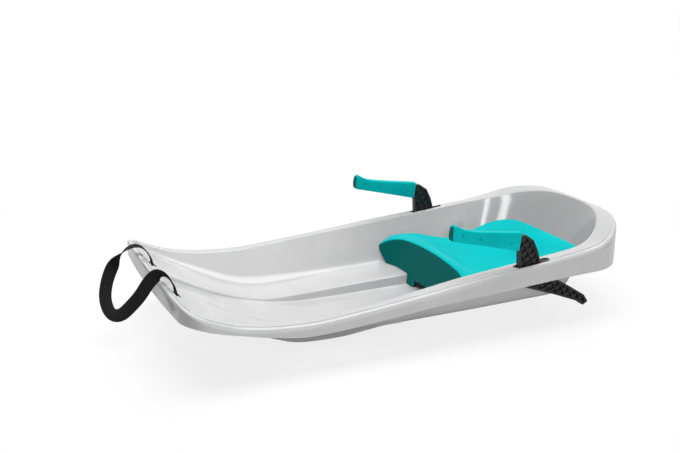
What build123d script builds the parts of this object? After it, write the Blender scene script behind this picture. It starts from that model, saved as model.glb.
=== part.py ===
"""A child's one-seat snow sled: a thin moulded tub with a rolled rim, a seat insert, and two brake levers.

Frame: +X towards the nose, +Y to the sled's left, +Z up, origin on the floor under the middle of the hull.
All lengths are in millimetres.
"""
from build123d import *
import math
import os

# --- hull: outline seen from above ---
hullLength = 890.0
noseHalfWidth = 224.0
tailHalfWidth = 207.0
noseCornerRadius = 46.0
noseBow = 6.0
tailRound = 123.0
wall = 3.0

# --- hull: heights along the rim ---
noseHeight = 131.0
noseCrown = 12.0
dipHeight = 85.5
tailHeight = 170.0
rimRadius = 8.0
noseSkirt = 37.0
dipSkirt = 22.0
tailSkirt = 78.0

# --- hull: the tub ---
benchHeight = 28.0
benchTailRise = 12.0
footTail = 340.0
footTailRound = 100.0
mouthHeight = 200.0
mouthTail = 425.0
mouthTailRound = 143.0
lipWidth = 15.0
benchRadius = 14.0
channelFloorHalf = 66.0
channelNoseHalf = 53.0
channelDraft = 0.4
channelHeight = 15.0
channelTail = 300.0

# --- hull: runners under the keel ---
skidWidth = 10.0
skidSpacing = 110.0
skidTail = -325.0
skidToe = 250.0
skidRocker = 70.0

# --- brake levers ---
leverSpacing = 395.0
leverThickness = 10.0
leverWeb = 2.4
leverFrame = 3.4
leverRib = 1.6
ribPitch = 12.0
pivotX = -188.0
pivotZ = 100.0
pinRadius = 4.0
pinClearance = 0.06
hubRadius = 9.5
bossRadius = 8.0
bossGap = 0.5
slotFront = -150.0
slotLength = 68.0
slotWidth = 15.0

# --- grips ---
gripWidth = 20.0
gripWall = 3.0
gripFit = 0.1

# --- seat ---
seatWall = 3.0
seatFront = -92.0
seatHump = 98.0
seatDish = 45.0
seatEdge = 80.0
seatTail = 368.0
seatGap = 1.0

# --- pull strap ---
strapTube = 5.0
strapSlotLength = 12.0
stopLength = 34.0
stopWidth = 10.0
stopDepth = 5.0
strapSlotWidth = 26.0
strapSlotX = 416.0
strapHalfSpan = 84.0

# Derived sizes
noseX = hullLength / 2
tailX = -hullLength / 2
cavityNose = noseX - lipWidth
leverY = leverSpacing / 2

# Stations along the hull, from tail to nose: (x, height)
sheerLine = [(-500, tailHeight - 50), (tailX, tailHeight - 9), (tailX + 18, tailHeight), (tailX + 50, tailHeight - 9),
             (-330, 141), (-220, 127), (-53, 111), (67, 98.5), (150, 90.5), (225, dipHeight), (300, 90),
             (359, 102), (400, 116), (438, noseHeight), (500, noseHeight + 20)]
skirtLine = [(-500, tailHeight - tailSkirt), (-300, 92), (-117, 84), (0, 79), (74, 73),
             (225, dipHeight - dipSkirt), (310, 72), (359, 84), (438, noseHeight - noseSkirt), (500, noseHeight - 12)]
benchLine = [(-500, benchHeight + benchTailRise), (-300, benchHeight + benchTailRise), (-66, 34), (70, 29.5),
             (140, benchHeight), (212, 29.5), (259, 38), (296, 51), (334, 70), (379, 97), (418, 117),
             (438, noseHeight - 6), (500, noseHeight + 14)]
channelLine = [(-500, channelHeight + 11), (-300, channelHeight + 9), (-66, channelHeight + 1), (140, channelHeight),
               (212, 16.5), (259, 25), (296, 38), (334, 57), (379, 85), (418, 107), (438, noseHeight - 17),
               (500, noseHeight + 4)]
# Half widths of the tub along the hull, on the floor plane and at the mouth's height: (x, half width)
footLine = [(-240, 145), (-79, 141), (20, 134), (110, 126), (184, 121), (300, 125), (390, 134), (cavityNose, 136)]
mouthLine = [(-282, 199), (-79, 220), (20, 250), (110, 284), (184, 300), (300, 280), (390, 248), (cavityNose, 232)]
crownLine = [(-500, 3), (-400, 3), (-250, 0), (250, 0), (330, 2), (400, 9), (438, noseCrown), (500, noseCrown)]


def height(stations, x):
    """The smooth height at x through stations sorted by x, by cubic pieces with averaged slopes."""
    slopes = []
    for i in range(len(stations)):
        low = stations[max(i - 1, 0)]
        high = stations[min(i + 1, len(stations) - 1)]
        slopes.append((high[1] - low[1]) / (high[0] - low[0]))
    for i in range(len(stations) - 1):
        x0, z0 = stations[i]
        x1, z1 = stations[i + 1]
        if x <= x1 or i == len(stations) - 2:
            span = x1 - x0
            t = (x - x0) / span
            blend = t * t * (3 - 2 * t)
            return z0 + (z1 - z0) * blend + span * t * (1 - t) * (slopes[i] * (1 - t) - slopes[i + 1] * t)


def crowned(stations, lift=0.0):
    """A height function of x and y: the stations' line, crowned across the nose and the tail."""
    def at(x, y):
        crown = height(crownLine, x) * (1 - (y / noseHalfWidth) ** 2)
        return height(stations, x) + crown + lift
    return at


def slab(at, upward, tail=-468.0, nose=468.0, half=240.0, step=36.0):
    """The space above or below a curved surface given as a height function of x and y."""
    rows = []
    count = int((nose - tail) / step)
    for i in range(count + 1):
        x = tail + (nose - tail) * i / count
        rows.append([Vector(x, half * (j - 2) / 2, at(x, half * (j - 2) / 2)) for j in range(5)])
    face = Face.make_surface_from_array_of_points(rows, tol=0.1, smoothing=None)
    return extrude(face, amount=400, dir=(0, 0, 1 if upward else -1))


def rim_prism(inset):
    """The hull's outer outline as a tall prism, drawn in by `inset`."""
    nose = noseX - inset
    side = noseHalfWidth - inset
    tail = tailHalfWidth - inset
    joint = tailX + tailRound
    right = Spline((joint, -tail), (-53, -(side - 7)), (200, -(side - 1)), (390, -side), tangents=((1, 0), (1, 0)))
    left = Spline((390, side), (200, side - 1), (-53, side - 7), (joint, tail), tangents=((-1, 0), (-1, 0)))
    edges = [
        right,
        Line((390, -side), (nose - noseBow, -side)),
        ThreePointArc((nose - noseBow, -side), (nose, 0), (nose - noseBow, side)),
        Line((nose - noseBow, side), (390, side)),
        left,
        EllipticalCenterArc((joint, 0), tailRound - inset, tail, start_angle=90, arc_size=180),
    ]
    prism = extrude(make_face(edges), amount=260)
    corners = [e for e in prism.edges().filter_by(Axis.Z) if e.center().X > 400]
    return Pos(0, 0, -20) * fillet(corners, noseCornerRadius - inset)


def outline(plane_z, tail, tail_round, widths, nose):
    """A level outline: a rounded tail, flowing sides through (x, half width) pairs, and a square nose."""
    joint = -tail + tail_round
    half = widths[0][1]
    ahead = [(joint, half)] + widths[1:-1] + [(nose, widths[-1][1])]
    right = Spline(*[(x, -w) for x, w in ahead])
    left = Spline(*[(x, w) for x, w in reversed(ahead)])
    front = Line((nose, -ahead[-1][1]), (nose, ahead[-1][1]))
    back = EllipticalCenterArc((joint, 0), tail_round, half, start_angle=90, arc_size=180)
    return Pos(0, 0, plane_z) * make_face([right, front, left, back])


def tub_core(grow):
    """The tub's drafted side and tail walls as a solid, grown outwards by `grow`."""
    nose = cavityNose + grow
    low = outline(0, footTail + grow, footTailRound + grow, [(x, w + grow) for x, w in footLine], nose)
    high = outline(mouthHeight, mouthTail + grow, mouthTailRound + grow, [(x, w + grow) for x, w in mouthLine], nose)
    return loft([low, high], ruled=True)


def channel_core(grow):
    """The sunk channel between the benches as a solid, grown outwards by `grow`."""
    faces = []
    for z in (0, mouthHeight):
        tail_half = channelFloorHalf + channelDraft * z + grow
        nose_half = channelNoseHalf + channelDraft * z + grow
        tail = -channelTail - grow - channelDraft * z * 0.5
        nose = cavityNose - 2 + grow
        corners = [(tail, -tail_half), (200, -tail_half), (nose, -nose_half),
                   (nose, nose_half), (200, tail_half), (tail, tail_half)]
        faces.append(Pos(0, 0, z) * make_face(Polyline(*corners, close=True)))
    return loft(faces, ruled=True)


def lever_slot(side):
    """The opening through the rim that a brake lever swings in."""
    length = slotLength - slotWidth
    centre = slotFront - slotLength / 2
    shape = Pos(centre, side * leverY) * SlotOverall(slotLength, slotWidth)
    return extrude(Pos(0, 0, pivotZ + 8) * shape, amount=60)


def strap_slot(side):
    """The opening through the nose that the pull strap passes through."""
    shape = Pos(strapSlotX, side * strapHalfSpan) * Rot(0, 0, 90) * SlotOverall(strapSlotWidth, strapSlotLength)
    return extrude(Pos(0, 0, 80) * shape, amount=80)


def tub_space(grow):
    """The inside of the tub as a solid, or its outside when grown by the wall, with rounded floor edges."""
    bench = crowned(benchLine, -grow)
    space = tub_core(grow) & slab(bench, True)
    floor = space.faces().sort_by(Axis.Z)[0]
    edges = [e for e in floor.edges() if e.center().X < cavityNose - 12]
    space = fillet(edges, benchRadius + grow)
    channel = channel_core(grow) & slab(crowned(channelLine, -grow), True) & slab(crowned(benchLine, 2 - grow), False)
    return space + channel


def skid(side):
    """One runner under the channel, rockered up at both ends."""
    under = crowned(channelLine, -wall)
    tail = (skidTail, under(skidTail, 0))
    toe = (skidToe, under(skidToe, 0))
    keel = [
        Spline(tail, (skidTail + skidRocker, 0), tangents=((1, -0.3), (1, 0))),
        Line((skidTail + skidRocker, 0), (skidToe - skidRocker, 0)),
        Spline((skidToe - skidRocker, 0), toe, tangents=((1, 0), (1, 0.4))),
        Polyline(toe, (skidToe, 45), (skidTail, 45), tail),
    ]
    body = extrude(Plane.XZ * make_face(keel), amount=skidWidth / 2, both=True)
    return (Pos(0, side * skidSpacing / 2, 0) * body) & slab(crowned(channelLine, -wall / 2), False)


def pivot_boss(side):
    """The two bosses that carry a lever's pin: one on the skirt and one on the tub's wall."""
    face = leverThickness / 2 + bossGap
    outer = Pos(pivotX, side * (leverY + face + 3), pivotZ) * Rot(90, 0, 0) * Cylinder(bossRadius, 6)
    inner = Pos(pivotX, side * (leverY - face - 10), pivotZ) * Rot(90, 0, 0) * Cylinder(bossRadius, 20)
    return outer + inner


def make_hull():
    """The one-piece hull: rim and skirt, tub, channel, runners, and the bosses that hold the pivots."""
    sheer = crowned(sheerLine)
    under_rim = slab(sheer, False)
    outer = rim_prism(0) & under_rim & slab(crowned(skirtLine), True)
    top_edges = [e for e in outer.edges() if e.center().Z > sheer(e.center().X, e.center().Y) - rimRadius]
    outer = fillet(top_edges, rimRadius)
    hollow = rim_prism(wall) & slab(crowned(sheerLine, -wall), False)
    inner_edges = [e for e in hollow.edges() if e.center().Z > sheer(e.center().X, e.center().Y) - rimRadius - wall]
    hollow = fillet(inner_edges, rimRadius - wall)
    rim = outer - hollow
    print("rim", rim.volume)
    shell = tub_space(wall) & slab(crowned(sheerLine, -wall / 2), False)
    print("shell", shell.volume)
    hull = rim + shell
    print("hull", hull.volume)
    for side in (1, -1):
        hull += skid(side)
        hull += pivot_boss(side)
    print("bosses", hull.volume)
    hull -= tub_space(0)
    print("cavity", hull.volume, len(hull.solids()))
    for side in (1, -1):
        hull -= lever_slot(side)
        hull -= strap_slot(side)
        hull -= pin_bore(side)
    print("slots", hull.volume, len(hull.solids()))
    return hull


def lever_outline():
    """A lever's side view: the bar inside the grip, the arm through the rim, and the claw behind."""
    bar = 10.0
    points = [
        (-150, 159), (-156, 146), (-157, 130), (-162, 112), (-178, 81), (-241, 59), (-289, 40), (-303, 30),
        (-314, 36), (-304, 50), (-276, 68), (-246, 86), (-210, 110), (-200, 128), (-194, 147), (-184, 167),
        (-168, 178), (-152, 178), (-26, 208), (-22, 189),
    ]
    return fillet(make_face(Polyline(*points, close=True)).vertices(), 3.0)


def lattice(centre, angle, pitch, reach):
    """Parallel thin ribs at one angle, as a flat sketch."""
    ribs = Sketch()
    count = int(reach / pitch)
    for i in range(-count, count + 1):
        ribs += Pos(*centre) * Rot(0, 0, angle) * Pos(0, i * pitch) * Rectangle(2 * reach, leverRib)
    return ribs


def make_lever(side):
    """A brake lever: a thin web in a raised frame, with a diagonal lattice above and a ladder on the claw."""
    profile = lever_outline()
    pocket = offset(profile, amount=-leverFrame)
    arm = Pos(-178, 150) * Rectangle(70, 84)
    claw = Pos(-246, 58) * Rectangle(150, 100)
    diagonal = (lattice((-178, 140), 58, ribPitch, 90) + lattice((-178, 140), -32, ribPitch, 90)) & arm
    ladder = (lattice((-246, 62), -27, ribPitch, 90) + lattice((-246, 62), 63, ribPitch, 110)) & claw
    ribs = (diagonal + ladder) & pocket
    pivot = Pos(pivotX, pivotZ) * Circle(hubRadius)
    bore = Pos(pivotX, pivotZ) * Circle(pinRadius + pinClearance)
    raised = profile - pocket + ribs + pivot - bore
    web = profile - bore
    flat = extrude(raised, amount=leverThickness / 2, both=True) + extrude(web, amount=leverWeb / 2, both=True)
    return Pos(0, side * leverY, 0) * Rot(90, 0, 0) * flat


def make_grip(side):
    """A grip shell pushed over a lever's bar, flared up at its front end."""
    top = Spline((-156, 184), (-90, 193), (-45, 201), (-24, 215), tangents=((1, 0.1), (1, 0.9)))
    front = Spline((-24, 215), (-18, 200), (-17, 184))
    under = Line((-17, 184), (-152, 152))
    back = Line((-152, 152), (-156, 184))
    body = extrude(make_face([top, front, under, back]), amount=gripWidth / 2, both=True)
    body = fillet(body.edges(), 3.0)
    bar = offset(lever_outline(), amount=gripFit)
    body -= extrude(bar, amount=leverThickness / 2 + gripFit, both=True)
    for x, z in ((-42, 191), (-78, 181), (-141, 167)):
        for face in (1, -1):
            body -= Pos(x, z, face * gripWidth / 2) * Cylinder(1.6, 3.0)
    return Pos(0, side * leverY, 0) * Rot(90, 0, 0) * body


def make_pin(side):
    """The plain steel pin that a lever turns on, held in the two bosses."""
    length = 2 * (leverThickness / 2 + bossGap + 4)
    return Pos(pivotX, side * leverY, pivotZ) * Rot(90, 0, 0) * Cylinder(pinRadius, length)


def pin_bore(side):
    """The blind bores in the bosses, a little wider and longer than the pin."""
    length = 2 * (leverThickness / 2 + bossGap + 4 + pinClearance)
    return Pos(pivotX, side * leverY, pivotZ) * Rot(90, 0, 0) * Cylinder(pinRadius + pinClearance, length)


seatLine = [(-420, 96), (-368, 84), (-330, 66), (-280, seatDish + 6), (-230, seatDish), (-180, seatDish + 5), (-140, 69),
            (-112, 90), (-92, seatHump), (-50, 100)]
seatEdgeLine = [(-420, 86), (-353, 80), (-300, 70), (-240, 63), (-200, 64), (-147, 76), (-76, 84), (-50, 84)]


def seat_top(lift=0.0):
    """The height of the seat's upper face: a dish behind a hump, rolled up to a higher edge at the sides."""
    def at(x, y):
        blend = min(abs(y) / 165.0, 1.1) ** 2.4
        middle = height(seatLine, x)
        return middle + (height(seatEdgeLine, x) - middle) * blend + lift
    return at


def seat_front(back):
    """The space behind the seat's hollow front face, which leans forwards to its top."""
    faces = []
    for z, middle, side in ((0, -116 - back, -70 - back), (110, -96 - back, -56 - back)):
        arc = ThreePointArc((side, -170), (middle, 0), (side, 170))
        rest = Polyline((side, 170), (-460, 170), (-460, -170), (side, -170))
        faces.append(Pos(0, 0, z) * make_face([arc, rest]))
    return loft(faces, ruled=True)


def make_seat():
    """The moulded seat insert, an open shell that sits in the tub."""
    space = tub_space(-seatGap) & slab(seat_top(), False, tail=-420, nose=-50, half=180)
    block = seat_front(0)
    seat = space & block
    hollow = seat_front(seatWall) & slab(seat_top(-seatWall), False, tail=-420, nose=-50, half=180)
    seat -= hollow
    for side in (1, -1):
        seat -= Pos(-100, side * 60, 20) * Box(60, 20, 24)
    return seat


strapRoute = [
    (strapSlotX, -84, 107), (strapSlotX, -84, 122), (424, -84, 140), (437, -85, 153), (454, -86, 152),
    (474, -82, 139), (491, -75, 118), (502, -66, 94), (508, -52, 73), (508, -30, 58), (503, -6, 54),
    (493, 18, 65), (481, 40, 89), (469, 60, 112), (459, 74, 136), (447, 82, 152), (433, 84, 151),
    (422, 84, 138), (strapSlotX, 84, 122), (strapSlotX, 84, 107),
]


def make_strap():
    """The pull strap, kept as a plain round cord along its route."""
    points = [Vector(*p) for p in strapRoute]
    radii = []
    for i in range(1, len(points) - 1):
        before = points[i] - points[i - 1]
        after = points[i + 1] - points[i]
        turn = math.radians(before.get_angle(after))
        radii.append(0.45 * min(before.length, after.length) / math.tan(turn / 2))
    path = FilletPolyline(*points, radius=radii)
    print("strap radii", [round(r, 1) for r in radii])
    start = Plane(origin=path @ 0, z_dir=path % 0)
    tube = sweep(start * Circle(strapTube / 2), path=path)
    print("strap length", round(path.length, 1), "volume ratio",
          round(tube.volume / (path.length * math.pi * strapTube ** 2 / 4), 4))
    return tube


def make_stop(side):
    """The small bar under the nose that stops the strap's end from pulling through its slot."""
    return Pos(strapSlotX, side * strapHalfSpan, 107 - stopDepth / 2) * Box(stopWidth, stopLength, stopDepth)


def main():
    os.makedirs("parts", exist_ok=True)
    hull = make_hull()
    pieces = {"hull": hull, "seat": make_seat(), "pull_strap": make_strap()}
    for name, side in (("left", 1), ("right", -1)):
        pieces["brake_lever_" + name] = make_lever(side)
        pieces["grip_" + name] = make_grip(side)
        pieces["pivot_pin_" + name] = make_pin(side)
        pieces["strap_stop_" + name] = make_stop(side)
    for name, piece in pieces.items():
        export_step(piece, "parts/" + name + ".step")


main()
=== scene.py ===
import bpy
import bmesh
import math
from mathutils import Vector, Matrix


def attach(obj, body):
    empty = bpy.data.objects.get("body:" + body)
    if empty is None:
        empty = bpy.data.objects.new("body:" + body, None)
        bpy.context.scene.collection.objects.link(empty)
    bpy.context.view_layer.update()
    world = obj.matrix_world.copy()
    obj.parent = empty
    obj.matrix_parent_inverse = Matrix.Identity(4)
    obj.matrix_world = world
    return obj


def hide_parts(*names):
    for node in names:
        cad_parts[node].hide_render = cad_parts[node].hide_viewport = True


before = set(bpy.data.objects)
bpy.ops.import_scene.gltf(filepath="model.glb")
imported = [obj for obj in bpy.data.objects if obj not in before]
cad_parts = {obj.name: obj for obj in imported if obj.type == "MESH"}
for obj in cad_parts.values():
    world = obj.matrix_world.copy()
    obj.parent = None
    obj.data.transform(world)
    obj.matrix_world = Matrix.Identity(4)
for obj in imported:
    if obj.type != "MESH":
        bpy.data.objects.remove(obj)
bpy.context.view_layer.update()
print("stage: frame loaded")

# lengths are in metres, apart from the hull's, the seat's and the grips', which are in millimetres
mm = 0.001

view = {
    "position": (0.7755, 1.5943, 0.6763),
    "forward": (-0.3793, -0.8818, -0.2803),
    "lens": 52.94,
    "sensor": 36.0,
}


def makeCamera():
    data = bpy.data.cameras.new("camera")
    data.lens = view["lens"]
    data.sensor_width = view["sensor"]
    data.clip_end = 50
    camera = bpy.data.objects.new("camera", data)
    bpy.context.scene.collection.objects.link(camera)
    camera.location = view["position"]
    camera.rotation_euler = Vector(view["forward"]).to_track_quat("-Z", "Y").to_euler()
    bpy.context.scene.camera = camera


makeCamera()
print("stage: camera")


# the finishes

plastics = {
    # the hull's shade entry paints a darker grey, standing in for shade, on the faces that look towards the
    # nose: the tail wall's inside and the nose's skirt
    "hull": {"name": "hullPlastic", "low": (0.69, 0.69, 0.695, 1), "high": (0.73, 0.73, 0.735, 1),
             "rough": (0.12, 0.19), "grain": 900.0, "bump": 0.02, "specular": 0.5, "coat": 0.25,
             "shade": {"from": 0.15, "to": 0.85, "paintedShade": (0.50, 0.50, 0.505, 1),
                       "bounce": (0.68, 0.68, 0.685, 1)}},
    # the seat's shade entry paints a dark teal, standing in for shade, on its front face, which looks towards
    # the nose
    "seat": {"name": "seatPlastic", "low": (0.0, 0.60, 0.615, 1), "high": (0.0, 0.66, 0.68, 1),
             "rough": (0.42, 0.52), "grain": 1600.0, "bump": 0.05, "specular": 0.05, "coat": 0.0,
             "shade": {"from": 0.55, "to": 0.85, "paintedShade": (0.0, 0.155, 0.145, 1),
                       "bounce": (0.28, 0.32, 0.32, 1)}},
    "lever": {"name": "leverPlastic", "low": (0.010, 0.010, 0.011, 1), "high": (0.020, 0.020, 0.022, 1),
              "rough": (0.34, 0.48), "grain": 2200.0, "bump": 0.08, "specular": 0.4, "coat": 0.0},
    "pin": {"name": "pinSteel", "low": (0.45, 0.45, 0.46, 1), "high": (0.56, 0.56, 0.57, 1),
            "rough": (0.25, 0.4), "grain": 1200.0, "bump": 0.03, "specular": 0.5, "coat": 0.0, "metal": 1.0},
}


def newMaterial(name):
    material = bpy.data.materials.new(name)
    material.use_nodes = True
    tree = material.node_tree
    return material, tree, tree.nodes["Principled BSDF"]


def addNode(tree, kind, inputs=None, **settings):
    node = tree.nodes.new(kind)
    for key, value in settings.items():
        setattr(node, key, value)
    for key, value in (inputs or {}).items():
        node.inputs[key].default_value = value
    return node


def ramp(tree, source, low, high, lowColour, highColour):
    node = addNode(tree, "ShaderNodeValToRGB")
    node.color_ramp.elements[0].position = low
    node.color_ramp.elements[0].color = lowColour
    node.color_ramp.elements[1].position = high
    node.color_ramp.elements[1].color = highColour
    tree.links.new(source, node.inputs["Fac"])
    return node.outputs["Color"]


def mixColour(tree, factor, source, target):
    # from a colour socket towards a fixed colour; 6, 7 and 2 are the Mix node's own places for its colours
    node = addNode(tree, "ShaderNodeMix", data_type="RGBA")
    tree.links.new(factor, node.inputs["Factor"])
    tree.links.new(source, node.inputs[6])
    node.inputs[7].default_value = target
    return node.outputs[2]


def mixShader(tree, factor, first, second):
    node = addNode(tree, "ShaderNodeMixShader")
    if isinstance(factor, float):
        node.inputs["Fac"].default_value = factor
    else:
        tree.links.new(factor, node.inputs["Fac"])
    tree.links.new(first, node.inputs[1])
    tree.links.new(second, node.inputs[2])
    return node.outputs["Shader"]


def emission(tree, colour, strength):
    return addNode(tree, "ShaderNodeEmission", {"Color": colour, "Strength": strength}).outputs["Emission"]


def bumped(tree, shader, source, strength, distance):
    bump = addNode(tree, "ShaderNodeBump", {"Strength": strength, "Distance": distance})
    tree.links.new(source, bump.inputs["Height"])
    tree.links.new(bump.outputs["Normal"], shader.inputs["Normal"])


def paintShade(tree, place, colour, facts):
    # painted shade: a darker colour on the faces that look towards the nose, and the plain colour in the
    # light that they pass on
    split = addNode(tree, "ShaderNodeSeparateXYZ")
    tree.links.new(place.outputs["Normal"], split.inputs["Vector"])
    paintedShade = addNode(tree, "ShaderNodeMapRange", {"From Min": facts["from"], "From Max": facts["to"]},
                   interpolation_type="SMOOTHSTEP")
    tree.links.new(split.outputs["X"], paintedShade.inputs["Value"])
    withPaintedShade = mixColour(tree, paintedShade.outputs["Result"], colour, facts["paintedShade"])
    path = addNode(tree, "ShaderNodeLightPath")
    return mixColour(tree, path.outputs["Is Diffuse Ray"], withPaintedShade, facts["bounce"])


def plastic(facts):
    material, tree, shader = newMaterial(facts["name"])
    place = addNode(tree, "ShaderNodeTexCoord")
    cloud = addNode(tree, "ShaderNodeTexNoise", {"Scale": 14.0, "Detail": 4.0, "Roughness": 0.55})
    grain = addNode(tree, "ShaderNodeTexNoise", {"Scale": facts["grain"], "Detail": 2.0})
    for noise in (cloud, grain):
        tree.links.new(place.outputs["Object"], noise.inputs["Vector"])
    colour = ramp(tree, cloud.outputs["Fac"], 0.35, 0.65, facts["low"], facts["high"])
    if "shade" in facts:
        colour = paintShade(tree, place, colour, facts["shade"])
    tree.links.new(colour, shader.inputs["Base Color"])
    low, high = facts["rough"]
    gloss = addNode(tree, "ShaderNodeMapRange", {"To Min": low, "To Max": high})
    tree.links.new(cloud.outputs["Fac"], gloss.inputs["Value"])
    tree.links.new(gloss.outputs["Result"], shader.inputs["Roughness"])
    bumped(tree, shader, grain.outputs["Fac"], facts["bump"], 0.0002)
    shader.inputs["Coat Weight"].default_value = facts["coat"]
    shader.inputs["Coat Roughness"].default_value = 0.04
    shader.inputs["Specular IOR Level"].default_value = facts["specular"]
    shader.inputs["Metallic"].default_value = facts.get("metal", 0.0)
    return material


finishes = {key: plastic(facts) for key, facts in plastics.items()}


def dress(names, material):
    for name in names:
        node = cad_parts[name]
        node.data.materials.clear()
        node.data.materials.append(material)


dress(["hull"], finishes["hull"])
dress(["seat", "grip_left", "grip_right"], finishes["seat"])
dress(["brake_lever_left", "brake_lever_right", "strap_stop_left", "strap_stop_right"], finishes["lever"])
dress(["pivot_pin_left", "pivot_pin_right"], finishes["pin"])
print("stage: finishes")


# what the pieces share

def addPiece(name, mesh, material, body, node):
    piece = bpy.data.objects.new(name, mesh)
    bpy.context.scene.collection.objects.link(piece)
    mesh.materials.clear()
    mesh.materials.append(material)
    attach(piece, body)
    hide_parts(node)
    return piece


def meshOf(bm, name):
    mesh = bpy.data.meshes.new(name)
    bm.normal_update()
    bm.to_mesh(mesh)
    bm.free()
    return mesh


def bake(piece):
    # the piece's modifiers are worked into its mesh
    graph = bpy.context.evaluated_depsgraph_get()
    graph.update()
    mesh = bpy.data.meshes.new_from_object(piece.evaluated_get(graph))
    piece.modifiers.clear()
    old = piece.data
    piece.data = mesh
    bpy.data.meshes.remove(old)


def thicken(piece, wall):
    solid = piece.modifiers.new("wall", "SOLIDIFY")
    solid.thickness = wall * mm
    solid.offset = -1
    bake(piece)


def cutAway(piece, tool):
    helper = bpy.data.objects.new("tool", tool)
    bpy.context.scene.collection.objects.link(helper)
    step = piece.modifiers.new("cut", "BOOLEAN")
    step.operation = "DIFFERENCE"
    step.solver = "FAST"
    step.object = helper
    bake(piece)
    bpy.data.objects.remove(helper)
    bpy.data.meshes.remove(tool)


def smoothShade(piece, angle):
    # smooth faces with the edges sharper than the angle kept
    mesh = piece.data
    mesh.shade_smooth()
    bm = bmesh.new()
    bm.from_mesh(mesh)
    for edge in bm.edges:
        edge.smooth = len(edge.link_faces) == 2 and edge.calc_face_angle(0) < math.radians(angle)
    bm.to_mesh(mesh)
    bm.free()


def faceUp(bm):
    # a sheet's faces all one way, with most of them upwards
    bmesh.ops.recalc_face_normals(bm, faces=bm.faces)
    if sum(face.normal.z * face.calc_area() for face in bm.faces) < 0:
        bmesh.ops.reverse_faces(bm, faces=bm.faces)


def extruded(bm, faces, shift):
    new = bmesh.ops.extrude_face_region(bm, geom=faces)["geom"]
    verts = [item for item in new if isinstance(item, bmesh.types.BMVert)]
    bmesh.ops.translate(bm, verts=verts, vec=shift)


def boxTool(bm, low, high, bevel=0.0):
    # a block between two corners, with its upright edges rounded
    low, high = Vector(low) * mm, Vector(high) * mm
    made = bmesh.ops.create_cube(bm, size=1.0)["verts"]
    for vert in made:
        vert.co = Vector([low[k] + (high[k] - low[k]) * (vert.co[k] + 0.5) for k in range(3)])
    if bevel:
        edges = dict.fromkeys(edge for vert in made for edge in vert.link_edges)
        upright = [edge for edge in edges if abs(edge.verts[0].co.z - edge.verts[1].co.z) > mm]
        bmesh.ops.bevel(bm, geom=upright, offset=bevel * mm, offset_type="OFFSET", segments=6, profile=0.5,
                        affect="EDGES", material=-1)


def rodTool(bm, centre, radius, length, sides=32):
    # a rod across the sled
    turn = Matrix.Translation(Vector(centre) * mm) @ Matrix.Rotation(math.radians(90), 4, "X")
    bmesh.ops.create_cone(bm, cap_ends=True, segments=sides, radius1=radius * mm, radius2=radius * mm,
                          depth=length * mm, matrix=turn)


def gridSheet(columns):
    # a grid laid over the columns' points
    bm = bmesh.new()
    count, depth = len(columns), len(columns[0])
    bmesh.ops.create_grid(bm, x_segments=count - 1, y_segments=depth - 1, size=1.0)
    for vert in bm.verts:
        i = round((vert.co.x + 1) / 2 * (count - 1))
        k = round((vert.co.y + 1) / 2 * (depth - 1))
        vert.co = Vector(columns[i][k]) * mm
    return bm


def between(a, b, share):
    return tuple(p + (q - p) * share for p, q in zip(a, b))


def rounded(start, corner, finish, count):
    # points on the soft bend from start to finish round a corner
    points = []
    for k in range(count):
        t = k / (count - 1)
        points.append(between(between(start, corner, t), between(corner, finish, t), t))
    return points


def smoothAt(stations, x):
    # the smooth value at x through stations sorted by x
    slopes = []
    for i in range(len(stations)):
        low = stations[max(i - 1, 0)]
        high = stations[min(i + 1, len(stations) - 1)]
        slopes.append((high[1] - low[1]) / (high[0] - low[0]))
    i = 0
    while x > stations[i + 1][0] and i < len(stations) - 2:
        i += 1
    (x0, z0), (x1, z1) = stations[i:i + 2]
    span = x1 - x0
    t = (x - x0) / span
    blend = t * t * (3 - 2 * t)
    return z0 + (z1 - z0) * blend + span * t * (1 - t) * (slopes[i] * (1 - t) - slopes[i + 1] * t)


# the hull: one moulded shell, from the skirt's edge over the rim and down the tub to its channel

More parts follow.
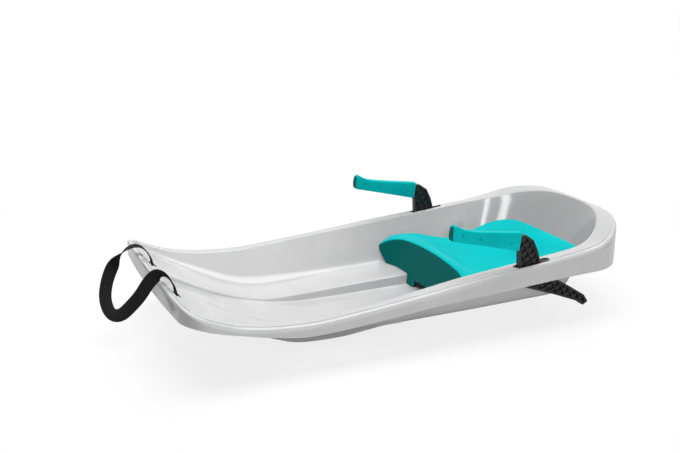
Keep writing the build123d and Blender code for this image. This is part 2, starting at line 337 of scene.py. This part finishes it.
hull = {
    "wall": 3.0,
    # heights along the sled: the rim's top, the skirt's edge, the benches' floor and the channel's floor
    "sheer": [(-500, 111), (-445, 159), (-425, 170), (-393, 163), (-330, 141), (-220, 127), (-53, 111),
              (67, 98.5), (150, 90.5), (225, 85.5), (300, 89.5), (350, 98), (382, 108.5), (412, 122),
              (436, 137), (500, 183)],
    "skirt": [(-500, 92), (-300, 92), (-117, 84), (0, 79), (74, 73), (225, 63.5), (286, 70), (351, 84),
              (383, 92), (414, 101), (438, 106), (500, 117)],
    "bench": [(-500, 43), (-300, 41), (-66, 34), (70, 30), (140, 28), (212, 28), (259, 37.5), (296, 51.5),
              (334, 69.5), (379, 94), (418, 116.5), (438, 130), (500, 160)],
    "channel": [(-500, 28), (-300, 25), (-66, 16), (140, 15), (196, 20), (241, 29.5), (264, 35), (312, 52),
                (348, 70), (388, 90), (418, 108), (438, 121), (500, 151)],
    # loops seen from above: the tail's round end as its centre, length and half width, the half widths in
    # front of it, the nose, the radius of the nose's corners and how far its middle bows out
    "rim": {"tail": (-322, 123, 207), "nose": 445, "corner": 46, "bow": 6,
            "sides": [(-322, 207), (-53, 217), (200, 223), (390, 224), (445, 224)]},
    "groove": {"tail": (-288, 12, 62), "nose": 428, "corner": 4, "bow": 0, "straight": True,
               "sides": [(-288, 62), (264, 51), (428, 8)]},
    # the tub's leaning wall carried down to the ground, and up to mouthHeight
    "foot": {"tail": (-240, 100, 145), "nose": 430, "corner": 14, "bow": 3,
             "sides": [(-240, 145), (-79, 141), (20, 134), (110, 126), (184, 121), (300, 125), (390, 134),
                       (430, 136)]},
    "mouth": {"tail": (-287, 148, 199), "nose": 430, "corner": 24, "bow": 5,
              "sides": [(-287, 199), (-79, 220), (20, 250), (110, 284), (184, 300), (300, 280), (390, 248),
                        (430, 232)]},
    "mouthHeight": 200.0,
    # the rim's bend and the low step on its top, the bends at the lip and the bench, and the channel's draft,
    # its bends, and where its middle line starts and ends
    "rimRadius": 8.0,
    "step": 1.6,
    "stepInset": 8.5,
    "stepRun": 1.2,
    "lipRadius": 2.0,
    "benchRadius": 14.0,
    "grooveDraft": 0.25,
    "grooveRadius": 2.5,
    "grooveMiddle": (-280.0, 424.0),
    "points": {"tail": 36, "side": 90, "corner": 12, "nose": 16},
    "sharp": 32,
}


def heightAt(line, x):
    return smoothAt(hull[line], x)


def sideWidth(loop, x):
    sides = loop["sides"]
    if not loop.get("straight"):
        return smoothAt(sides, x)
    for (x0, w0), (x1, w1) in zip(sides, sides[1:]):
        if x <= x1:
            break
    return w0 + (w1 - w0) * (x - x0) / (x1 - x0)


def loopPoints(loop, inset=0.0):
    # the left half, from the tail's middle to the nose's middle, in the same count of points on each loop
    centre, length, half = loop["tail"]
    nose = loop["nose"] - inset
    corner = max(loop["corner"] - inset, 2.0)
    end = nose - loop["bow"] - corner
    side = sideWidth(loop, end) - inset
    counts = hull["points"]
    points = []
    for i in range(counts["tail"]):
        angle = math.radians(90 * i / counts["tail"])
        points.append((centre - (length - inset) * math.cos(angle), (half - inset) * math.sin(angle)))
    for i in range(counts["side"]):
        x = centre + (end - centre) * i / counts["side"]
        points.append((x, sideWidth(loop, x) - inset))
    for i in range(counts["corner"]):
        angle = math.radians(90 * i / counts["corner"])
        points.append((end + corner * math.sin(angle), side - corner * (1 - math.cos(angle))))
    for i in range(counts["nose"] + 1):
        share = 1 - i / counts["nose"]
        points.append((nose - loop["bow"] * share * share, (side - corner) * share))
    return points


def wallPoint(foot, mouth, z):
    return (*between(foot, mouth, z / hull["mouthHeight"]), z)


def wallMeets(foot, mouth, line):
    # where the tub's leaning wall crosses a line of heights; each guess gives the place for the next one
    z = 80.0
    for step in range(8):
        z = heightAt(line, wallPoint(foot, mouth, z)[0])
    return wallPoint(foot, mouth, z)


def rimPoints(edge, edgeIn, stepFoot, stepTop):
    # up the skirt, over the rounded rim and up its low step
    radius, step = hull["rimRadius"], hull["step"]
    low = heightAt("skirt", edge[0])
    high = heightAt("sheer", edge[0]) - step - radius
    points = [(*edge, low + (high - low) * share) for share in (0.0, 0.08, 0.35, 0.65, 0.92)]
    for k in range(6):
        angle = math.radians(90 * k / 5)
        inset = radius * (1 - math.cos(angle))
        x, y = between(edge, edgeIn, inset / radius)
        points.append((x, y, heightAt("sheer", x) - step - radius * (1 - math.sin(angle))))
    for place, drop in ((stepFoot, 1.0), (between(stepFoot, stepTop, 0.35), 0.35), (stepTop, 0.0)):
        points.append((*place, heightAt("sheer", place[0]) - drop * step))
    return points


def wallPoints(stepTop, foot, mouth, fold):
    # the rim's flat top, its lip, and the wall down to where it folds into the bench
    lip = wallMeets(foot, mouth, "sheer")
    base = wallMeets(foot, mouth, "bench")
    gap = math.dist(stepTop, lip[:2])
    radius = min(hull["lipRadius"], 0.3 * gap, 0.3 * (lip[2] - base[2]))
    flat = 1 - radius / gap
    points = []
    for share in (0.34, 0.67):
        x, y = between(stepTop, lip[:2], share * flat)
        points.append((x, y, heightAt("sheer", x)))
    x, y = between(stepTop, lip[:2], flat)
    top = lip[2] - radius
    points += rounded((x, y, heightAt("sheer", x)), lip, wallPoint(foot, mouth, top), 4)
    for k in range(1, 9):
        points.append(wallPoint(foot, mouth, top + (base[2] + fold - lip[2] + radius) * k / 9))
    return points


def grooveEdge(groove):
    # the channel's upper edge, which its draft puts outside the groove's loop
    x, y = groove
    draft = hull["grooveDraft"] * heightAt("bench", x)
    if x < hull["groove"]["tail"][0]:
        x -= 0.5 * draft
    return x, y + draft * min(y / 8.0, 1.0)


def floorPoints(foot, mouth, groove, fold):
    # the fold from wall to bench, the bench, and the channel's wall and floor to the sled's middle
    # the bends are smaller where the bench or the channel is narrow
    base = wallMeets(foot, mouth, "bench")
    edge = grooveEdge(groove)
    reach = math.dist(base[:2], edge)
    run = min(fold / reach, 0.4)
    inner = between(base[:2], edge, run)
    points = rounded(wallPoint(foot, mouth, base[2] + fold), base, (*inner, heightAt("bench", inner[0])), 6)
    for share in (0.25, 0.5, 0.75):
        x, y = between(inner, edge, share)
        points.append((x, y, heightAt("bench", x)))
    small = min(hull["grooveRadius"], 0.3 * reach * (1 - run))
    high = heightAt("bench", edge[0])
    drop = high - heightAt("channel", edge[0])
    lowEdge = between(edge, groove, drop / max(high, 1))
    x, y = between(edge, inner, small / (reach * (1 - run)))
    below = (*between(edge, lowEdge, small / drop), high - small)
    points += rounded((x, y, heightAt("bench", x)), (*edge, high), below, 4)
    tail, nose = hull["grooveMiddle"]
    middle = (min(max(lowEdge[0], tail), nose), 0.0)
    inside = max(math.dist(lowEdge, middle), 0.001)
    start = (*between(edge, lowEdge, 1 - small / drop), high - drop + small)
    finish = between(lowEdge, middle, min(small / inside, 0.4))
    corner = (*lowEdge, heightAt("channel", lowEdge[0]))
    points += rounded(start, corner, (*finish, heightAt("channel", finish[0])), 4)
    for share in (0.4, 0.7, 1.0):
        x, y = between(finish, middle, share)
        points.append((x, y, heightAt("channel", x)))
    return points


def hullColumns():
    rim = loopPoints(hull["rim"])
    rimIn = loopPoints(hull["rim"], hull["rimRadius"])
    stepFoot = loopPoints(hull["rim"], hull["stepInset"])
    stepTop = loopPoints(hull["rim"], hull["stepInset"] + hull["stepRun"])
    foot, mouth, groove = (loopPoints(hull[name]) for name in ("foot", "mouth", "groove"))
    columns = []
    for i in range(len(rim)):
        rise = wallMeets(foot[i], mouth[i], "sheer")[2] - wallMeets(foot[i], mouth[i], "bench")[2]
        fold = min(hull["benchRadius"], 0.4 * rise)
        columns.append(rimPoints(rim[i], rimIn[i], stepFoot[i], stepTop[i])
                       + wallPoints(stepTop[i], foot[i], mouth[i], fold)
                       + floorPoints(foot[i], mouth[i], groove[i], fold))
    return columns


def makeShell():
    bm = gridSheet(hullColumns())
    new = bmesh.ops.duplicate(bm, geom=bm.verts[:] + bm.edges[:] + bm.faces[:])["geom"]
    for vert in [item for item in new if isinstance(item, bmesh.types.BMVert)]:
        vert.co.y = -vert.co.y
    bmesh.ops.remove_doubles(bm, verts=bm.verts, dist=0.00002)
    bmesh.ops.dissolve_degenerate(bm, edges=bm.edges, dist=0.00001)
    faceUp(bm)
    piece = addPiece("hullShell", meshOf(bm, "hullShell"), finishes["hull"], "sled", "hull")
    thicken(piece, hull["wall"])
    return piece


runner = {"y": 55, "width": 10, "tail": -325, "toe": 250, "rocker": 70, "sunk": 1.2, "least": 0.5,
          "steps": 28}


def addRunner(bm, side):
    # a bar under the channel, with its underside rockered up at both ends
    tail, toe, rocker = runner["tail"], runner["toe"], runner["rocker"]
    made = bmesh.ops.create_grid(bm, x_segments=runner["steps"], y_segments=1, size=1.0)["verts"]
    for vert in made:
        x = tail + (toe - tail) * (vert.co.x + 1) / 2
        top = heightAt("channel", x) - runner["sunk"] - runner["least"]
        ends = max(tail + rocker - x, x - toe + rocker, 0) / rocker
        low = (heightAt("channel", x) - hull["wall"] - runner["least"]) * ends ** 2.2
        z = top if vert.co.y > 0 else min(low, top)
        vert.co = Vector((x, side * runner["y"] - runner["width"] / 2, z)) * mm
    faces = list(dict.fromkeys(face for vert in made for face in vert.link_faces))
    extruded(bm, faces, (0, runner["width"] * mm, 0))


belly = {
    "from": 40,
    "to": 290,
    "inner": 72,
    "sunk": 0.8,
    "low": [(20, 29), (70, 26), (105, 19), (146, 11), (200, 11), (235, 19), (262, 32), (300, 50)],
    "steps": 32,
}


def bellyRing(x, side):
    # across the belly: its top inside the bench, its outer side along the wall, and its rounded underside
    bed = heightAt("bench", x)
    low = min(smoothAt(belly["low"], x), bed - 2.5)
    foot = smoothAt(hull["foot"]["sides"], x)
    spread = (smoothAt(hull["mouth"]["sides"], x) - foot) / hull["mouthHeight"]
    wall = foot + spread * bed
    out = foot + spread * low + 2.5
    inner = belly["inner"]
    top = bed - belly["sunk"]
    profile = [(inner, top), (wall - hull["benchRadius"], top), (wall, bed + 1.0), (wall + 1.5, bed + 3.5),
               (out + 1.0, min(low + 9.0, bed + 1.0)), (out - 2.5, min(low + 3.5, bed)), (out - 9, low + 0.6),
               (out - 20, low), (inner + 8, low), (inner, min(low + 5, bed - 1.6))]
    return [(x, side * y, z) for y, z in profile]


def addBelly(bm, side):
    # the deeper underside of a bench, where the sled meets the snow first
    rings = []
    for i in range(belly["steps"] + 1):
        x = belly["from"] + (belly["to"] - belly["from"]) * i / belly["steps"]
        rings.append([bm.verts.new(Vector(point) * mm) for point in bellyRing(x, side)])
    loops = [[bm.edges.new(pair) for pair in zip(ring, ring[1:] + ring[:1])] for ring in rings]
    for first, second in zip(loops, loops[1:]):
        bmesh.ops.bridge_loops(bm, edges=first + second)
    bm.faces.new(rings[0])
    bm.faces.new(rings[-1])


# the bosses hold the pin on each side of the lever, measured from the lever's middle
pivot = {"x": -188, "y": 197.5, "z": 100, "boss": 8.0, "outer": (5.5, 10.5), "inner": (-19.3, -5.5),
         "bore": 4.06, "boreLength": 19.2}


def addBosses(bm, side):
    for low, high in (pivot["outer"], pivot["inner"]):
        centre = (pivot["x"], side * (pivot["y"] + (low + high) / 2), pivot["z"])
        rodTool(bm, centre, pivot["boss"], high - low)


slots = [
    {"x": (-226, -154), "y": (190, 205), "z": (108, 170), "corner": 7.2},  # the lever's
    {"x": (410, 422), "y": (71, 97), "z": (92, 160), "corner": 5.7},  # the strap's
]


def hullCuts():
    # what is taken out for the levers, the strap's ends and the pins
    bm = bmesh.new()
    for side in (1, -1):
        for slot in slots:
            (xLow, xHigh), (zLow, zHigh) = slot["x"], slot["z"]
            yLow, yHigh = sorted(side * y for y in slot["y"])
            boxTool(bm, (xLow, yLow, zLow), (xHigh, yHigh, zHigh), slot["corner"])
        rodTool(bm, (pivot["x"], side * pivot["y"], pivot["z"]), pivot["bore"], pivot["boreLength"])
    bmesh.ops.recalc_face_normals(bm, faces=bm.faces)
    return meshOf(bm, "cuts")


def makeHull():
    shell = makeShell()
    bm = bmesh.new()
    for side in (1, -1):
        addRunner(bm, side)
        addBelly(bm, side)
        addBosses(bm, side)
    bmesh.ops.recalc_face_normals(bm, faces=bm.faces)
    adds = bpy.data.objects.new("adds", meshOf(bm, "adds"))
    bpy.context.scene.collection.objects.link(adds)
    for piece in (shell, adds):
        cutAway(piece, hullCuts())
    bm = bmesh.new()
    for piece in (shell, adds):
        bm.from_mesh(piece.data)
    bm.to_mesh(shell.data)
    bm.free()
    bpy.data.objects.remove(adds)
    smoothShade(shell, hull["sharp"])


makeHull()
print("stage: hull")


# the seat: a dished shell with a leaning front face that stands on the tub's floor
# middle and edge are the heights of its top along the sled, at its middle and at edgeHalf beside it
# the face leans back by lean over leanHeight, and comes forward by flare from faceHalf out to faceReach

seat = {
    "middle": [(-420, 98), (-377, 91), (-335, 70), (-285, 53), (-230, 46), (-185, 53), (-150, 72),
               (-124, 93), (-98, 100), (-50, 102)],
    "edge": [(-420, 132), (-377, 130), (-361, 127), (-341, 114), (-311, 93), (-287, 79), (-260, 70),
             (-225, 66), (-199, 70), (-174, 76), (-147, 82), (-100, 84), (-67, 69), (-50, 58)],
    "edgeHalf": 165.0,
    "front": -75.0,
    "lean": 25.0,
    "leanHeight": 110.0,
    "flare": 26.0,
    "faceHalf": 100.0,
    "faceReach": 170.0,
    "faceFoot": {"x": -80.0, "z": 34.0, "inset": 12.0},
    "channelHalf": 66.0,
    "back": -386.0,
    "gap": 1.0,
    "wall": 3.0,
    "fold": 5.0,
    "notch": {"x": (-140, -50), "half": 38, "z": (10, 32)},
    "points": {"across": 56, "face": 12, "fold": 5, "top": 60},
    "sharp": 50,
}


def seatHeight(x, y):
    middle = smoothAt(seat["middle"], x)
    share = min(abs(y) / seat["edgeHalf"], 1.1) ** 2
    return middle + (smoothAt(seat["edge"], x) - middle) * share


def tubWidth(x, z):
    # the tub's half width at a place and height
    share = z / hull["mouthHeight"]
    centre, length, half = between(hull["foot"]["tail"], hull["mouth"]["tail"], share)
    if x < centre:
        return half * math.sqrt(max(1 - ((centre - x) / length) ** 2, 0.0))
    low, high = (smoothAt(loop["sides"], max(x, loop["tail"][0])) for loop in (hull["foot"], hull["mouth"]))
    return low + (high - low) * share


def seatWidth(x):
    # where the seat's top meets the tub's wall, going halfway to each new guess
    y = 150.0
    for step in range(14):
        y = 0.5 * y + 0.5 * max(tubWidth(x, seatHeight(x, y)) - seat["gap"], 0.0)
    return y


def frontAt(y, z):
    over = max(abs(y) - seat["faceHalf"], 0.0) / (seat["faceReach"] - seat["faceHalf"])
    return seat["front"] - seat["lean"] * z / seat["leanHeight"] + seat["flare"] * over ** 2


def frontCorner(across):
    # where the front face would meet the top, from guess to guess
    # across runs from -1 at the right wall to 1 at the left
    y, z = across * seatWidth(-98.0), 90.0
    for step in range(12):
        x = frontAt(y, z)
        y = across * seatWidth(x)
        z = seatHeight(x, y)
    return x, y, z


def facePoints(across, corner):
    x, topY, topZ = corner
    foot = seat["faceFoot"]
    floorY = across * (tubWidth(foot["x"], foot["z"]) - foot["inset"])
    bed = heightAt("bench" if abs(floorY) > seat["channelHalf"] else "channel", foot["x"]) + seat["gap"]
    count = seat["points"]["face"]
    points = []
    for k in range(count + 1):
        z = bed + (topZ - seat["fold"] - bed) * k / count
        y = floorY + (topY - floorY) * k / count
        y = math.copysign(min(abs(y), tubWidth(x, z) - seat["gap"]), across)
        points.append((frontAt(y, z), y, z))
    return points


def topPoint(across, x):
    y = across * seatWidth(x)
    return x, y, seatHeight(x, y)


def seatColumn(across):
    # up the front face, round the fold and back over the top
    counts = seat["points"]
    corner = frontCorner(across)
    behind = corner[0] - seat["fold"] * 1.4
    points = facePoints(across, corner)
    points += rounded(points[-1], corner, topPoint(across, behind), counts["fold"] + 1)[1:]
    for k in range(1, counts["top"] + 1):
        share = math.sin(math.radians(90 * k / counts["top"]))
        points.append(topPoint(across, behind + (seat["back"] - behind) * share))
    return points


def makeSeat():
    columns = []
    count = seat["points"]["across"]
    for i in range(count + 1):
        even = -1 + 2 * i / count
        columns.append(seatColumn(math.copysign(abs(even) ** 0.85, even)))
    bm = gridSheet(columns)
    bmesh.ops.remove_doubles(bm, verts=bm.verts, dist=0.00005)
    faceUp(bm)
    piece = addPiece("seatShell", meshOf(bm, "seatShell"), finishes["seat"], "sled", "seat")
    thicken(piece, seat["wall"])
    notch = seat["notch"]
    (xLow, xHigh), (zLow, zHigh) = notch["x"], notch["z"]
    bm = bmesh.new()
    boxTool(bm, (xLow, -notch["half"], zLow), (xHigh, notch["half"], zHigh))
    bmesh.ops.recalc_face_normals(bm, faces=bm.faces)
    cutAway(piece, meshOf(bm, "cuts"))
    smoothShade(piece, seat["sharp"])


makeSeat()
print("stage: seat")


# the grips: sleeves with a raised front end and three dimples a side

grip = {
    "outline": [(-165, 183.5), (-115, 190), (-80, 195), (-66, 197.5), (-52, 201), (-42, 206), (-34, 211.5),
                (-28.5, 206.5), (-26.5, 199), (-26, 191), (-27, 183.2), (-60, 175.3), (-110, 163),
                (-160, 150.5)],
    "y": 197.5,
    "width": 16.0,
    "corner": 3.4,
    "cornerAngle": 35,
    "dimples": [(-46, 192), (-80, 182), (-143, 168)],
    "dimple": {"radius": 1.7, "depth": 1.4, "sides": 20},
    "sharp": 40,
}


def makeGrip(name, side):
    bm = bmesh.new()
    low = side * grip["y"] - grip["width"] / 2
    face = bm.faces.new([bm.verts.new((x * mm, low * mm, z * mm)) for x, z in grip["outline"]])
    extruded(bm, [face], (0, grip["width"] * mm, 0))
    bmesh.ops.recalc_face_normals(bm, faces=bm.faces)
    sharp = [edge for edge in bm.edges if edge.calc_face_angle(0) > math.radians(grip["cornerAngle"])]
    bmesh.ops.bevel(bm, geom=sharp, offset=grip["corner"] * mm, offset_type="OFFSET", segments=5,
                    profile=0.5, affect="EDGES", material=-1, clamp_overlap=True)
    piece = addPiece("gripSleeve_" + name, meshOf(bm, "grip"), finishes["seat"], "brake_" + name,
                     "grip_" + name)
    dimple = grip["dimple"]
    bm = bmesh.new()
    for x, z in grip["dimples"]:
        for face in (1, -1):
            centre = (x, side * grip["y"] + face * grip["width"] / 2, z)
            rodTool(bm, centre, dimple["radius"], 2 * dimple["depth"], dimple["sides"])
    cutAway(piece, meshOf(bm, "cuts"))
    smoothShade(piece, grip["sharp"])


# the levers: the solid's own shape with its bar made slimmer and shorter, so that the sleeve covers it
# the bar starts at barFrom, at barMiddle's height, and rises by slope; what is above backAbove is set back

lever = {
    "barFrom": -0.150,
    "barAbove": 0.140,
    "barMiddle": 0.1685,
    "slope": 0.235,
    "length": 0.84,
    "slim": 0.62,
    "ease": 0.02,
    "backwards": 0.0055,
    "backAbove": 0.110,
    "sharp": 30,
}


def makeLever(name):
    bm = bmesh.new()
    bm.from_mesh(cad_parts["brake_lever_" + name].data)
    bmesh.ops.remove_doubles(bm, verts=bm.verts, dist=0.000005)
    start, ease = lever["barFrom"], lever["ease"]
    for vert in bm.verts:
        if vert.co.x > start and vert.co.z > lever["barAbove"]:
            offset = vert.co.z - (lever["barMiddle"] + (vert.co.x - start) * lever["slope"])
            slim = 1 - (1 - lever["slim"]) * min((vert.co.x - start) / ease, 1.0)
            x = start + (vert.co.x - start) * lever["length"]
            vert.co.z = lever["barMiddle"] + (x - start) * lever["slope"] + offset * slim
            vert.co.x = x
        vert.co.x -= lever["backwards"] * min(max((vert.co.z - lever["backAbove"]) / ease, 0.0), 1.0)
    piece = addPiece("brakeLever_" + name, meshOf(bm, "lever"), finishes["lever"], "brake_" + name,
                     "brake_lever_" + name)
    smoothShade(piece, lever["sharp"])


for name, side in (("left", 1), ("right", -1)):
    makeGrip(name, side)
    makeLever(name)
print("stage: levers")


# the pull strap: woven webbing along its own line
# it lies flat over the nose at both ends, and turns its face between these shares of its length

strap = {
    "width": 0.022,
    "thick": 0.0018,
    "points": [
        (0.416, -0.084, 0.107), (0.416, -0.084, 0.122), (0.424, -0.084, 0.140), (0.437, -0.085, 0.153),
        (0.454, -0.086, 0.152), (0.474, -0.082, 0.139), (0.491, -0.075, 0.118), (0.502, -0.066, 0.095),
        (0.508, -0.053, 0.076), (0.508, -0.030, 0.062), (0.503, -0.006, 0.058), (0.493, 0.018, 0.067),
        (0.481, 0.040, 0.089), (0.469, 0.060, 0.112), (0.459, 0.074, 0.136), (0.447, 0.082, 0.152),
        (0.433, 0.084, 0.151), (0.422, 0.084, 0.138), (0.416, 0.084, 0.122), (0.416, 0.084, 0.107),
    ],
    "flat": (0.0, 1.0, 0.0),
    "face": (0.42, 0.86, 0.28),
    "turns": (0.12, 0.36, 0.82, 0.93),
    "ribs": 420.0,
    "rows": 260.0,
    "low": (0.003, 0.003, 0.003, 1),
    "high": (0.012, 0.012, 0.013, 1),
}


def webbing():
    material, tree, shader = newMaterial("strapWebbing")
    place = addNode(tree, "ShaderNodeTexCoord")
    ribs = addNode(tree, "ShaderNodeTexWave", {"Scale": strap["ribs"], "Distortion": 0.3, "Detail": 1.0},
                   wave_type="BANDS", bands_direction="Y")
    rows = addNode(tree, "ShaderNodeTexWave", {"Scale": strap["rows"], "Distortion": 0.2},
                   wave_type="BANDS", bands_direction="X")
    weave = addNode(tree, "ShaderNodeMath", operation="MULTIPLY")
    for k, node in enumerate((ribs, rows)):
        tree.links.new(place.outputs["UV"], node.inputs["Vector"])
        tree.links.new(node.outputs["Fac"], weave.inputs[k])
    colour = ramp(tree, weave.outputs["Value"], 0.0, 1.0, strap["low"], strap["high"])
    tree.links.new(colour, shader.inputs["Base Color"])
    bumped(tree, shader, weave.outputs["Value"], 0.6, 0.0004)
    shader.inputs["Roughness"].default_value = 0.75
    shader.inputs["Specular IOR Level"].default_value = 0.15
    return material


def smoothLine(points):
    curve = bpy.data.curves.new("line", "CURVE")
    curve.dimensions = "3D"
    spline = curve.splines.new("NURBS")
    spline.points.add(len(points) - 1)
    for point, place in zip(spline.points, points):
        point.co = (*place, 1)
    spline.order_u = 3
    spline.use_endpoint_u = True
    spline.resolution_u = 8
    holder = bpy.data.objects.new("line", curve)
    mesh = bpy.data.meshes.new_from_object(holder)
    line = [vert.co.copy() for vert in mesh.vertices]
    bpy.data.objects.remove(holder)
    bpy.data.meshes.remove(mesh)
    return line


def strapFrames(line, runs):
    # the directions across the webbing and out of its face, at each point of the line
    first, second, third, last = strap["turns"]
    flat, face = Vector(strap["flat"]), Vector(strap["face"])
    before = flat
    frames = []
    for i, run in enumerate(runs):
        along = (line[min(i + 1, len(line) - 1)] - line[max(i - 1, 0)]).normalized()
        share = run / runs[-1]
        turned = min(max((share - first) / (second - first), 0), max((last - share) / (last - third), 0), 1)
        turned = turned * turned * (3 - 2 * turned)
        free = along.cross(face).normalized()
        if free.dot(before) < 0:
            free.negate()
        before = free
        across = (flat if share < 0.5 else -flat).lerp(free, turned)  # half a turn lies between the two ends
        across = (across - across.dot(along) * along).normalized()
        frames.append((across, along.cross(across)))
    return frames


def strapRing(bm, place, across, normal, count=9):
    # the webbing's section: over its face and back, with its edges thinner
    upper, under = [], []
    for k in range(count):
        u = 2 * k / (count - 1) - 1
        centre = place + across * u * strap["width"] / 2
        half = normal * (strap["thick"] / 2 * (1 - 0.5 * abs(u) ** 6))
        upper.append(bm.verts.new(centre + half))
        under.insert(0, centre - half)
    return upper + [bm.verts.new(point) for point in under]


def makeStrap():
    line = smoothLine(strap["points"])
    runs = [0.0]
    for a, b in zip(line, line[1:]):
        runs.append(runs[-1] + (b - a).length)
    bm = bmesh.new()
    uvLayer = bm.loops.layers.uv.new("UVMap")
    rings = [strapRing(bm, place, *sides) for place, sides in zip(line, strapFrames(line, runs))]
    count = len(rings[0])
    for i, (a, b) in enumerate(zip(rings, rings[1:])):
        for k in range(count):
            face = bm.faces.new((a[k], a[(k + 1) % count], b[(k + 1) % count], b[k]))
            for loop, (c, row) in zip(face.loops, [(k, i), (k + 1, i), (k + 1, i + 1), (k, i + 1)]):
                share = (c if c <= count / 2 else count - 0.5 - c) / (count / 2 - 1)
                loop[uvLayer].uv = (share * strap["width"], runs[row])
    bm.faces.new(rings[0])
    bm.faces.new(list(reversed(rings[-1])))
    bmesh.ops.recalc_face_normals(bm, faces=bm.faces)
    piece = addPiece("pullStrap", meshOf(bm, "pullStrap"), webbing(), "sled", "pull_strap")
    piece.data.shade_smooth()


makeStrap()
print("stage: strap")


# the studio: a pale floor that fades to white, soft lamps, and two panes that only show as reflections
# the camera sees floorShare of the floor's own light with a white floorGlow added, and the fade is between
# two distances; sky has the strengths to the right and to the left

studio = {
    "floor": (0.86, 0.86, 0.865, 1),
    "floorShare": 0.28,
    "floorGlow": 0.80,
    "fade": (0.75, 1.15),
    "sky": (0.05, 0.17),
    "lamps": [
        {"name": "top", "place": (0.0, -0.2, 2.2), "size": (2.6, 1.6), "power": 50.0, "soft": True},
        {"name": "fill", "place": (-0.4, 3.0, 0.55), "size": (2.6, 0.7), "power": 15.0, "soft": True},
        {"name": "paneLeft", "place": (0.95, 2.25, 1.5), "size": (0.45, 1.5), "power": 20.0, "soft": False},
        {"name": "paneRight", "place": (1.95, 1.05, 1.65), "size": (0.6, 1.5), "power": 27.0, "soft": False},
    ],
}


def cameraRays(tree, also=()):
    # one where the camera looks, and where the named rays look too
    path = addNode(tree, "ShaderNodeLightPath")
    found = path.outputs["Is Camera Ray"]
    for name in also:
        most = addNode(tree, "ShaderNodeMath", operation="MAXIMUM")
        tree.links.new(found, most.inputs[0])
        tree.links.new(path.outputs[name], most.inputs[1])
        found = most.outputs["Value"]
    return found


def paleFloor():
    material, tree, shader = newMaterial("paleFloor")
    shader.inputs["Base Color"].default_value = studio["floor"]
    shader.inputs["Roughness"].default_value = 0.2
    # the camera sees a lighter floor, which fades to plain white away from the sled
    dim = mixShader(tree, studio["floorShare"], emission(tree, (0, 0, 0, 1), 0.0), shader.outputs["BSDF"])
    lit = addNode(tree, "ShaderNodeAddShader")
    tree.links.new(dim, lit.inputs[0])
    tree.links.new(emission(tree, (1, 1, 1, 1), studio["floorGlow"]), lit.inputs[1])
    place = addNode(tree, "ShaderNodeTexCoord")
    away = addNode(tree, "ShaderNodeVectorMath", operation="LENGTH")
    tree.links.new(place.outputs["Object"], away.inputs[0])
    near, far = studio["fade"]
    fade = addNode(tree, "ShaderNodeMapRange", {"From Min": near, "From Max": far},
                   interpolation_type="SMOOTHSTEP")
    tree.links.new(away.outputs["Value"], fade.inputs["Value"])
    white = emission(tree, (1, 1, 1, 1), 1.0)
    faded = mixShader(tree, fade.outputs["Result"], lit.outputs["Shader"], white)
    seen = mixShader(tree, cameraRays(tree), shader.outputs["BSDF"], faded)
    tree.links.new(seen, tree.nodes["Material Output"].inputs["Surface"])
    return material


def makeFloor():
    bm = bmesh.new()
    bmesh.ops.create_grid(bm, x_segments=1, y_segments=1, size=8)
    floor = bpy.data.objects.new("floor", meshOf(bm, "floor"))
    bpy.context.scene.collection.objects.link(floor)
    floor.data.materials.append(paleFloor())


def makeWorld():
    # a dim sky that is lighter to the left of the sled, and plain white for the camera and for reflections
    world = bpy.data.worlds.new("world")
    bpy.context.scene.world = world
    world.use_nodes = True
    tree = world.node_tree
    sky = tree.nodes["Background"]
    sky.inputs["Color"].default_value = (1, 1, 1, 1)
    place = addNode(tree, "ShaderNodeTexCoord")
    split = addNode(tree, "ShaderNodeSeparateXYZ")
    tree.links.new(place.outputs["Generated"], split.inputs["Vector"])
    low, high = studio["sky"]
    span = {"From Min": -1.0, "From Max": 1.0, "To Min": low, "To Max": high}
    shade = addNode(tree, "ShaderNodeMapRange", span)
    tree.links.new(split.outputs["Y"], shade.inputs["Value"])
    level = addNode(tree, "ShaderNodeMix", {"B": 1.0})
    tree.links.new(cameraRays(tree, ("Is Glossy Ray", "Is Transmission Ray")), level.inputs["Factor"])
    tree.links.new(shade.outputs["Result"], level.inputs["A"])
    tree.links.new(level.outputs["Result"], sky.inputs["Strength"])


def makeLamps():
    for facts in studio["lamps"]:
        data = bpy.data.lights.new(facts["name"], "AREA")
        data.shape = "RECTANGLE"
        data.size, data.size_y = facts["size"]
        data.energy = facts["power"]
        lamp = bpy.data.objects.new(facts["name"], data)
        bpy.context.scene.collection.objects.link(lamp)
        lamp.visible_diffuse = facts["soft"]
        lamp.location = facts["place"]
        lamp.rotation_euler = (-Vector(facts["place"])).to_track_quat("-Z", "Y").to_euler()


makeFloor()
makeWorld()
makeLamps()
bpy.context.scene.view_settings.view_transform = "Standard"
print("stage: studio")
